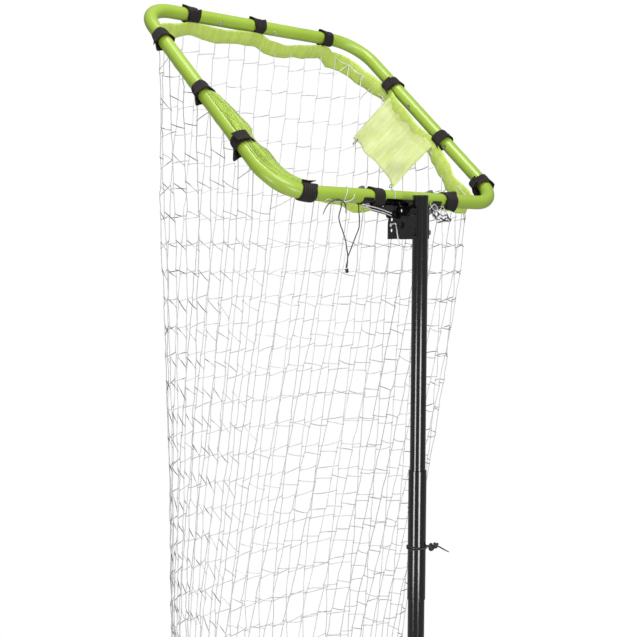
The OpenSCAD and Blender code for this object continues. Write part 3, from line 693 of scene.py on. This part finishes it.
def bandGrid(s):
    grid, laid, half, r = [], [], hoopPlace["half"] - s["inner"], s["corner"]
    straight = half - r
    # a row that names no fold has none
    sides = [[row + (0,) * (5 - len(row)) for row in side] for side in s["sides"]]
    for k in range(4):
        table, after = sides[k], sides[(k + 1) % 4]
        spots = [(-straight + 2 * straight * i / 36, None) for i in range(36)]
        spots += [(straight, i / 8) for i in range(8)]
        for x, bend in spots:
            if bend is None:
                top, low, shift, fold = between(table, x * 1000, True)
            else:
                ends = zip(table[-1][1:], after[0][1:])
                top, low, shift, fold = (p + (q - p) * bend for p, q in ends)
            row = []
            for j in range(s["across"]):
                v = j / (s["across"] - 1)
                n = (top + (low - top) * v) / 1000
                ripple = sum(depth * math.sin(x * along + k * turn + v * down)
                             for depth, along, turn, down in s["ripples"])
                belly = shift / 1000 + s["belly"] * math.sin(math.pi * v) + ripple * (0.4 + v)
                if v < 0.5:
                    t = 2 * v
                    over = (s["foldStart"] + (s["inner"] + shift / 1000 + s["foldReach"]) * t,
                            s["foldTop"] + (top / 1000 - s["foldFall"]) * t
                            + s["foldBow"] * t * (1 - t))
                else:
                    start = top / 1000 + s["foldTop"] - s["foldFall"]
                    over = (s["inner"] + s["foldOff"] + shift / 1000 * (2 - 2 * v),
                            start + (low / 1000 - start) * (2 * v - 1))
                inward = s["inner"] + belly
                laid.append(fold)
                inward += (over[0] - inward) * fold
                n += (over[1] - n) * fold
                if bend is None:
                    row.append(onSide(k, x, inward, n))
                else:
                    angle = math.pi / 2 * bend
                    rr = r - (inward - s["inner"])
                    row.append(onSide(k, straight + rr * math.sin(angle),
                                      s["inner"] + r - rr * math.cos(angle), n))
            grid.append(row)
    return grid, laid


bandRows, bandLaid = bandGrid(bandSettings)
hoopBand = addTrim("hoopBand", [clothMesh(bandRows, bandSettings["thick"], True)], "hoop",
                   finishes["lime_fabric"], "lime_fabric", "net_band")
hoopBand.data.attributes.new("laid", "FLOAT", "POINT").data.foreach_set("value", bandLaid * 2)
print("band hung")


# mesh flap
# a fold is its depth, waves along, waves down and where they start
flapSettings = {"along": (0.253, 0.464), "top": 0.3195, "under": 0.020, "drop": 0.146,
                "lean": 18.0, "thick": 0.0009, "narrow": 0.001, "stray": 0.004, "belly": 0.005,
                "rough": 0.003, "folds": ((0.0055, 9, 2.2, 0), (0.0035, 17, -5, 1))}


def flapGrid(s):
    lean = math.radians(s["lean"])
    grid = []
    for i in range(33):
        u = i / 32
        row = []
        for j in range(25):
            v = j / 24
            length = s["drop"] * v * (1 - 0.05 * math.sin(math.pi * u))
            y = s["along"][0] + (s["along"][1] - s["along"][0]) * u
            y += s["narrow"] * v * (0.5 - u) * 2 + s["stray"] * v * math.sin(u * 7)
            fold = sum(depth * math.sin(u * along + v * down + start) * v
                       for depth, along, down, start in s["folds"])
            fold += s["belly"] * math.sin(math.pi * v) * math.cos(u * 5)
            fold += s["rough"] * noise.noise(Vector((u * 5, v * 4, 3))) * (0.3 + v)
            x = s["top"] - length * math.sin(lean) - fold
            row.append(onHoop(x, y, -s["under"] - length * math.cos(lean)))
        grid.append(row)
    return grid


flapRows = flapGrid(flapSettings)
meshFlap = addTrim("meshFlap", [clothMesh(flapRows, flapSettings["thick"])], "hoop", flapMesh,
                   "lime_fabric", "mesh_flap")


def cornerLoop(corner, size, turned, radius=0.0009):
    loop = []
    for i in range(24):
        a = 2 * math.pi * i / 24
        loop.append(corner + Vector((0.2 * math.sin(a), math.cos(a + turned),
                                     0.8 * math.sin(a) - 0.6)) * size)
    return tubeMesh(loop, radius, 6, True)


flapLoops = addTrim("flapLoops", [cornerLoop(flapRows[2][24], 0.006, 0.3),
                                  cornerLoop(flapRows[31][24], 0.008, 0.9)],
                    "hoop", blackCord, "black_cord")
print("flap hung")


# net
netSettings = {"strands": 44, "row": 0.066, "twine": 0.00098, "twineSizes": (1.6, 0.6),
               "knot": 0.0019, "bottom": 0.600, "sag": 0.003, "slack": 0.0018, "sway": 0.0014,
               "slant": 0.015, "plainSlant": 0.55, "steepSlant": (0.8, 1.9), "steepPast": -0.28,
               "rowJitter": 0.004, "lowRing": 0.95, "highRing": 1.9,
               "crowd": 0.9, "crowdReach": 0.17, "crowdShares": (1.0, 0.6), "lean": 0.05,
               "underBand": 0.034, "topGap": 0.03, "topSag": 0.004, "farWiden": 1.9,
               "uprightShades": (0.08, 0.4), "linkShades": (0.04, 0.2), "topShade": 0.2,
               "darkWiden": 1.6, "darkDepths": (0.6, 1.2), "blend": (0.045, 0.55), "seed": 4,
               # height, half width, back wall, front wall, squareness of the section
               "sections": [
                   (0.600, 0.284, 0.128, 0.386, 5.0), (1.000, 0.292, 0.052, 0.389, 5.0),
                   (1.200, 0.297, 0.012, 0.390, 5.0), (1.400, 0.302, -0.025, 0.391, 5.5),
                   (1.600, 0.308, -0.058, 0.392, 6.0), (1.800, 0.314, -0.086, 0.393, 6.5),
                   (1.930, 0.318, -0.094, 0.394, 7.0), (2.400, 0.320, -0.094, 0.395, 7.0)]}


def ringPoint(s, u, z):
    # u goes once round from the middle of the back wall
    halfWide, back, front, square = between(s["sections"], z)
    a = 2 * math.pi * u - math.pi / 2
    c, d = math.cos(a), math.sin(a)
    r = (abs(c) ** square + abs(d) ** square) ** (-1 / square)
    return Vector((halfWide * r * c, (back + front) / 2 + (front - back) / 2 * r * d, z))


def evenRound(s, z, crowd):
    # places round the section at equal steps, but closer together by two of its corners
    spots = [ringPoint(s, i / 720, z) for i in range(721)]
    halfWide, back, front, _ = between(s["sections"], z)
    corners = Vector((-halfWide, front, z)), Vector((halfWide, back, z))
    lengths = [0.0]
    for a, b in zip(spots, spots[1:]):
        near = sum(math.exp(-((a - corner).length / s["crowdReach"]) ** 2) * share
                   for corner, share in zip(corners, s["crowdShares"]))
        lengths.append(lengths[-1] + (b - a).length * (1 + crowd * near))
    places, k = [], 0
    for i in range(s["strands"]):
        goal = lengths[-1] * (i + 0.5) / s["strands"]
        while lengths[k + 1] < goal:
            k += 1
        places.append((k + (goal - lengths[k]) / (lengths[k + 1] - lengths[k])) / 720)
    return places


def slopeHeight(y, below):
    # height of a plane that lies below the hoop's, above a place in plan
    s = (y - hoopPlace["lowSide"][1] - below * math.sin(slopeAngle)) / math.cos(slopeAngle)
    return hoopPlace["lowSide"][2] + s * math.sin(slopeAngle) - below * math.cos(slopeAngle)


def darkShare(p):
    # how much painted shade the links get at a place: most to the front left and beside the
    # mast's right
    if p.x < -0.2:
        return min(max((p.y + 0.05) / 0.28, 0), 1)
    return 1.4 if p.x > 0.2 and p.y < 0.1 else 0.4


def netWires(s):
    # each column carries two knots a row: a link leaves the upper one and ends on the lower
    # one of the next column, so the meshes are long and their short sides slope
    rnd = random.Random(s["seed"])
    points, edges, flags = [], [], []
    upright, link = s["twineSizes"]

    def add(p, knot, thick, shade):
        points.append(p)
        flags.append((knot, thick, shade))
        return len(points) - 1

    def run(a, b, middles, thick, shades):
        last = a
        for m, shade in zip(middles, shades):
            at = add(m, False, thick, shade)
            edges.append((last, at))
            last = at
        edges.append((last, b))

    def nudge(size):
        return Vector((rnd.uniform(-1, 1), rnd.uniform(-1, 1), 0)) * size

    lowZ, highZ = s["lowRing"], s["highRing"]
    low, high = evenRound(s, lowZ, s["crowd"]), evenRound(s, highZ, 0.0)
    columns = []
    for i in range(s["strands"]):
        def at(z, i=i):
            climb = (z - lowZ) / (highZ - lowZ)
            t = min(max(climb, 0), 1)
            lean = s["lean"] * (1 - max(climb, 0)) * math.cos(2 * math.pi * low[i])
            return ringPoint(s, low[i] + (high[i] - low[i]) * t - lean, z)
        top = at(highZ)
        for _ in range(4):
            zTop = slopeHeight(top.y, s["underBand"])
            top = at(zTop)
        column = {"leave": [], "reach": []}
        level = 0
        z = s["bottom"]
        while z < zTop - s["topGap"]:
            wide = (rnd.uniform(*s["steepSlant"]) if at(z).x < s["steepPast"]
                    else s["plainSlant"])
            z += rnd.uniform(-1, 1) * s["rowJitter"] * (level > 0)
            for key, down in (("leave", 0), ("reach", s["slant"] * wide * rnd.uniform(0.7, 1.2))):
                p = at(z - down * (level > 0)) + nudge(s["slack"]) * (level > 0)
                column[key].append(add(p, True, 0.95, 0.3) if level or key == "leave"
                                   else column["leave"][0])
            level += 1
            z = s["bottom"] + s["row"] * level
        column["top"] = add(top, True, 1.0, 0.3)
        column["shade"] = rnd.uniform(*s["uprightShades"])
        columns.append(column)
    for i, column in enumerate(columns):
        beside = columns[(i + 1) % len(columns)]
        ladder = sorted(set(column["leave"] + column["reach"]) | {column["top"]},
                        key=lambda k: points[k].z)
        for a, b in zip(ladder, ladder[1:]):
            p, q = points[a], points[b]
            sway = nudge(s["sway"])
            far = s["farWiden"] if p.y > 0.3 and p.z > highZ else 1
            run(a, b, [p.lerp(q, 0.33) + sway, p.lerp(q, 0.67) + sway * rnd.uniform(-0.4, 0.9)],
                upright * far * (1.35 - column["shade"]), [column["shade"]] * 2)
        for k in range(max(len(column["leave"]), len(beside["reach"]))):
            a = column["leave"][k] if k < len(column["leave"]) else column["top"]
            b = beside["reach"][k] if k < len(beside["reach"]) else beside["top"]
            p, q = points[a], points[b]
            sag = s["sag"] * rnd.uniform(-0.6, 1.0) * (k > 0)
            middles = [p.lerp(q, t) - Vector((0, 0, sag * 4 * t * (1 - t)))
                       for t in (0.25, 0.5, 0.75)]
            shade = rnd.uniform(*s["linkShades"])
            near = darkShare(p)
            dark = rnd.random() < 0.25 + 0.6 * near
            shades = [shade] * 3
            if dark:
                # only a part of most links is dark
                depth = near * rnd.uniform(*s["darkDepths"])
                first, last = rnd.choice(((0, 2), (1, 3), (0, 3), (0, 1)))
                shades[first:last] = [shade + depth] * (last - first)
            run(a, b, middles, link * (s["darkWiden"] if dark else 1), shades)
        p, q = points[column["top"]], points[beside["top"]]
        middles = [p.lerp(q, t) - hoopNormal * s["topSag"] * 4 * t * (1 - t)
                   for t in (0.25, 0.5, 0.75)]
        run(column["top"], beside["top"], middles, 1.0, [s["topShade"]] * 3)
    return points, edges, flags


def wire(tree, rows):
    for a, out, b, into in rows:
        tree.links.new(a.outputs[out], b.inputs[into])


def twineTree(material):
    tree = bpy.data.node_groups.new("knottedTwine", "GeometryNodeTree")
    face = tree.interface
    face.new_socket("Geometry", in_out="INPUT", socket_type="NodeSocketGeometry")
    sizes = {}
    for name, kind in (("Twine radius", "NodeSocketFloat"), ("Knot radius", "NodeSocketFloat"),
                       ("Twine sides", "NodeSocketInt")):
        sizes[name] = face.new_socket(name, in_out="INPUT", socket_type=kind).identifier
    face.new_socket("Geometry", in_out="OUTPUT", socket_type="NodeSocketGeometry")
    add = tree.nodes.new
    source, result = add("NodeGroupInput"), add("NodeGroupOutput")
    toCurve, swell = add("GeometryNodeMeshToCurve"), add("GeometryNodeSetCurveRadius")
    ring, sweep = add("GeometryNodeCurvePrimitiveCircle"), add("GeometryNodeCurveToMesh")
    ball, place = add("GeometryNodeMeshIcoSphere"), add("GeometryNodeInstanceOnPoints")
    join, real = add("GeometryNodeJoinGeometry"), add("GeometryNodeRealizeInstances")
    paint = add("GeometryNodeSetMaterial")
    ball.inputs["Subdivisions"].default_value = 1
    sweep.inputs["Fill Caps"].default_value = True
    paint.inputs["Material"].default_value = material

    def stored(name, kind):
        made = add("GeometryNodeInputNamedAttribute")
        made.data_type, made.inputs["Name"].default_value = kind, name
        return made

    def varied(low, high, seed):
        made = add("FunctionNodeRandomValue")
        made.data_type = "FLOAT_VECTOR"
        for key, value in (("Min", low), ("Max", high), ("Seed", seed)):
            made.inputs[key].default_value = value
        return made

    wire(tree, (
        (source, "Geometry", toCurve, "Mesh"), (toCurve, "Curve", swell, 0),
        (stored("thickness", "FLOAT"), "Attribute", swell, "Radius"),
        (source, "Twine sides", ring, "Resolution"),
        (source, "Twine radius", ring, "Radius"),
        (swell, 0, sweep, "Curve"), (ring, "Curve", sweep, "Profile Curve"),
        (source, "Knot radius", ball, "Radius"), (source, "Geometry", place, "Points"),
        (stored("knot", "BOOLEAN"), "Attribute", place, "Selection"),
        (ball, "Mesh", place, "Instance"),
        (varied((0, 0, 0), (6.28, 6.28, 6.28), 7), "Value", place, "Rotation"),
        (varied((0.8, 0.8, 0.8), (1.2, 1.2, 1.5), 9), "Value", place, "Scale"),
        (sweep, "Mesh", join, "Geometry"), (place, "Instances", join, "Geometry"),
        (join, "Geometry", real, "Geometry"), (real, "Geometry", paint, "Geometry"),
        (paint, "Geometry", result, "Geometry")))
    return tree, sizes


def bake(name, mesh, tree, values):
    source = addObject(name + "Wires", mesh)
    modifier = source.modifiers.new("nodes", "NODES")
    modifier.node_group = tree
    for identifier, value in values.items():
        modifier[identifier] = value
    graph = bpy.context.evaluated_depsgraph_get()
    made = bpy.data.meshes.new_from_object(source.evaluated_get(graph))
    source.modifiers.remove(modifier)
    bpy.data.objects.remove(source)
    made.polygons.foreach_set("use_smooth", [True] * len(made.polygons))
    return addObject(name, made)


points, edges, flags = netWires(netSettings)
wires = bpy.data.meshes.new("netWires")
wires.from_pydata([tuple(p) for p in points], edges, [])
for name, kind, values in zip(("knot", "thickness", "shade"), ("BOOLEAN", "FLOAT", "FLOAT"),
                              zip(*flags)):
    wires.attributes.new(name, kind, "POINT").data.foreach_set("value", values)
twineNodes, twineSizes = twineTree(finishes["twine"])
net = bake("net", wires, twineNodes, {
    twineSizes["Twine radius"]: netSettings["twine"],
    twineSizes["Knot radius"]: netSettings["knot"], twineSizes["Twine sides"]: 5})
print("net knotted:", len(net.data.polygons), "faces")
# the net is baked in place and left on no body; a point below the hoop's band is worked out from
# the blend settings but not used
below, reach = netSettings["blend"]
mouth = onHoop(0, hoopPlace["half"], -below)
tuple(mouth - hoopNormal * reach)
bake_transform(net)
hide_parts("net_front", "net_back", "net_left", "net_right")


# hem
hemSettings = {"top": 0.5995, "height": 0.0115, "thick": 0.0022, "wave": 0.0006, "steps": 160}


def hemGrid(s):
    grid = []
    for i in range(s["steps"]):
        row = []
        for j in range(5):
            p = ringPoint(netSettings, i / s["steps"], netSettings["bottom"])
            wave = s["wave"] * math.sin(i * 2 * math.pi / 8)
            row.append(Vector((p.x, p.y, s["top"] - s["height"] * j / 4 + wave * (1 - j / 4))))
        grid.append(row)
    return grid


hemRows = hemGrid(hemSettings)
netHem = addTrim("netHem", [clothMesh(hemRows, hemSettings["thick"], True)], "upper_mast",
                 whiteCord, "twine", "net_hem")
print("hem sewn")


# studio
studioSettings = {"floor": 2.3, "world": 0.30, "glow": 0.7, "rim": 96, "lamps": [
    # name, place, aim, width, height, watts
    ("topSoft", (-0.45, -0.3, 4.6), (0, 0.1, 1.6), 1.4, 1.0, 62),
    ("leftStrip", (-3.39, -0.47, 0.8), (0, -0.2, 1.3), 0.9, 1.3, 38),
    ("frontStrip", (-1.11, -3.62, 0.8), (0, -0.2, 1.3), 1.1, 1.4, 58),
    ("frontSoft", (-0.6, -1.5, 3.3), (0, 0.4, 2.3), 0.9, 0.9, 26)]}


def addStudio(s):
    # a pale disc that glows towards the camera, under a white world and area lamps
    r, steps = s["floor"], s["rim"]
    rim = [(r * math.cos(2 * math.pi * i / steps), r * math.sin(2 * math.pi * i / steps), 0)
           for i in range(steps)]
    f = Finish("floorPaper", Roughness=0.9, Specular_IOR_Level=0.1)
    f.feed("Base Color", f.blendColour(f.speckle(0.4), (0.86, 0.86, 0.86, 1),
                                       (0.9, 0.9, 0.9, 1)))
    rays = f.node("ShaderNodeLightPath")
    seen = [Signal(f, rays.socket.node.outputs[name])
            for name in ("Is Camera Ray", "Is Transmission Ray")]
    glow = f.node("ShaderNodeEmission", None, {"Color": (1, 1, 1, 1), "Strength": 1.0})
    mix = f.node("ShaderNodeMixShader", None, {0: (seen[0] + seen[1]).clamped() * s["glow"]})
    glow, mix = glow.socket.node, mix.socket.node
    wire(f.tree, ((f.shader, 0, mix, 1), (glow, 0, mix, 2), (mix, 0, f.out, "Surface")))
    floor = makePiece("floorDisc", rim, [tuple(range(steps))], f.material, smooth=False)
    world = bpy.data.worlds.new("studioWorld")
    bpy.context.scene.world = world
    world.use_nodes = True
    tree = world.node_tree
    tree.nodes.clear()
    path, both = (tree.nodes.new(kind) for kind in ("ShaderNodeLightPath", "ShaderNodeMath"))
    level, sky, out = (tree.nodes.new(kind) for kind in
                       ("ShaderNodeMapRange", "ShaderNodeBackground", "ShaderNodeOutputWorld"))
    both.use_clamp = True
    wire(tree, ((path, "Is Camera Ray", both, 0), (path, "Is Transmission Ray", both, 1),
                (both, 0, level, "Value"), (level, 0, sky, "Strength"),
                (sky, 0, out, "Surface")))
    level.inputs["To Min"].default_value = s["world"]
    level.inputs["To Max"].default_value = 1.0
    sky.inputs["Color"].default_value = (1, 1, 1, 1)
    for name, place, aim, width, height, watts in s["lamps"]:
        data = bpy.data.lights.new(name, "AREA")
        data.shape, data.size, data.size_y, data.energy = "RECTANGLE", width, height, watts
        lamp = addObject(name, data)
        lamp.location = place
        ray = Vector(aim) - Vector(place)
        lamp.rotation_euler = ray.to_track_quat("-Z", "Y").to_euler()


addStudio(studioSettings)
print("studio lit")
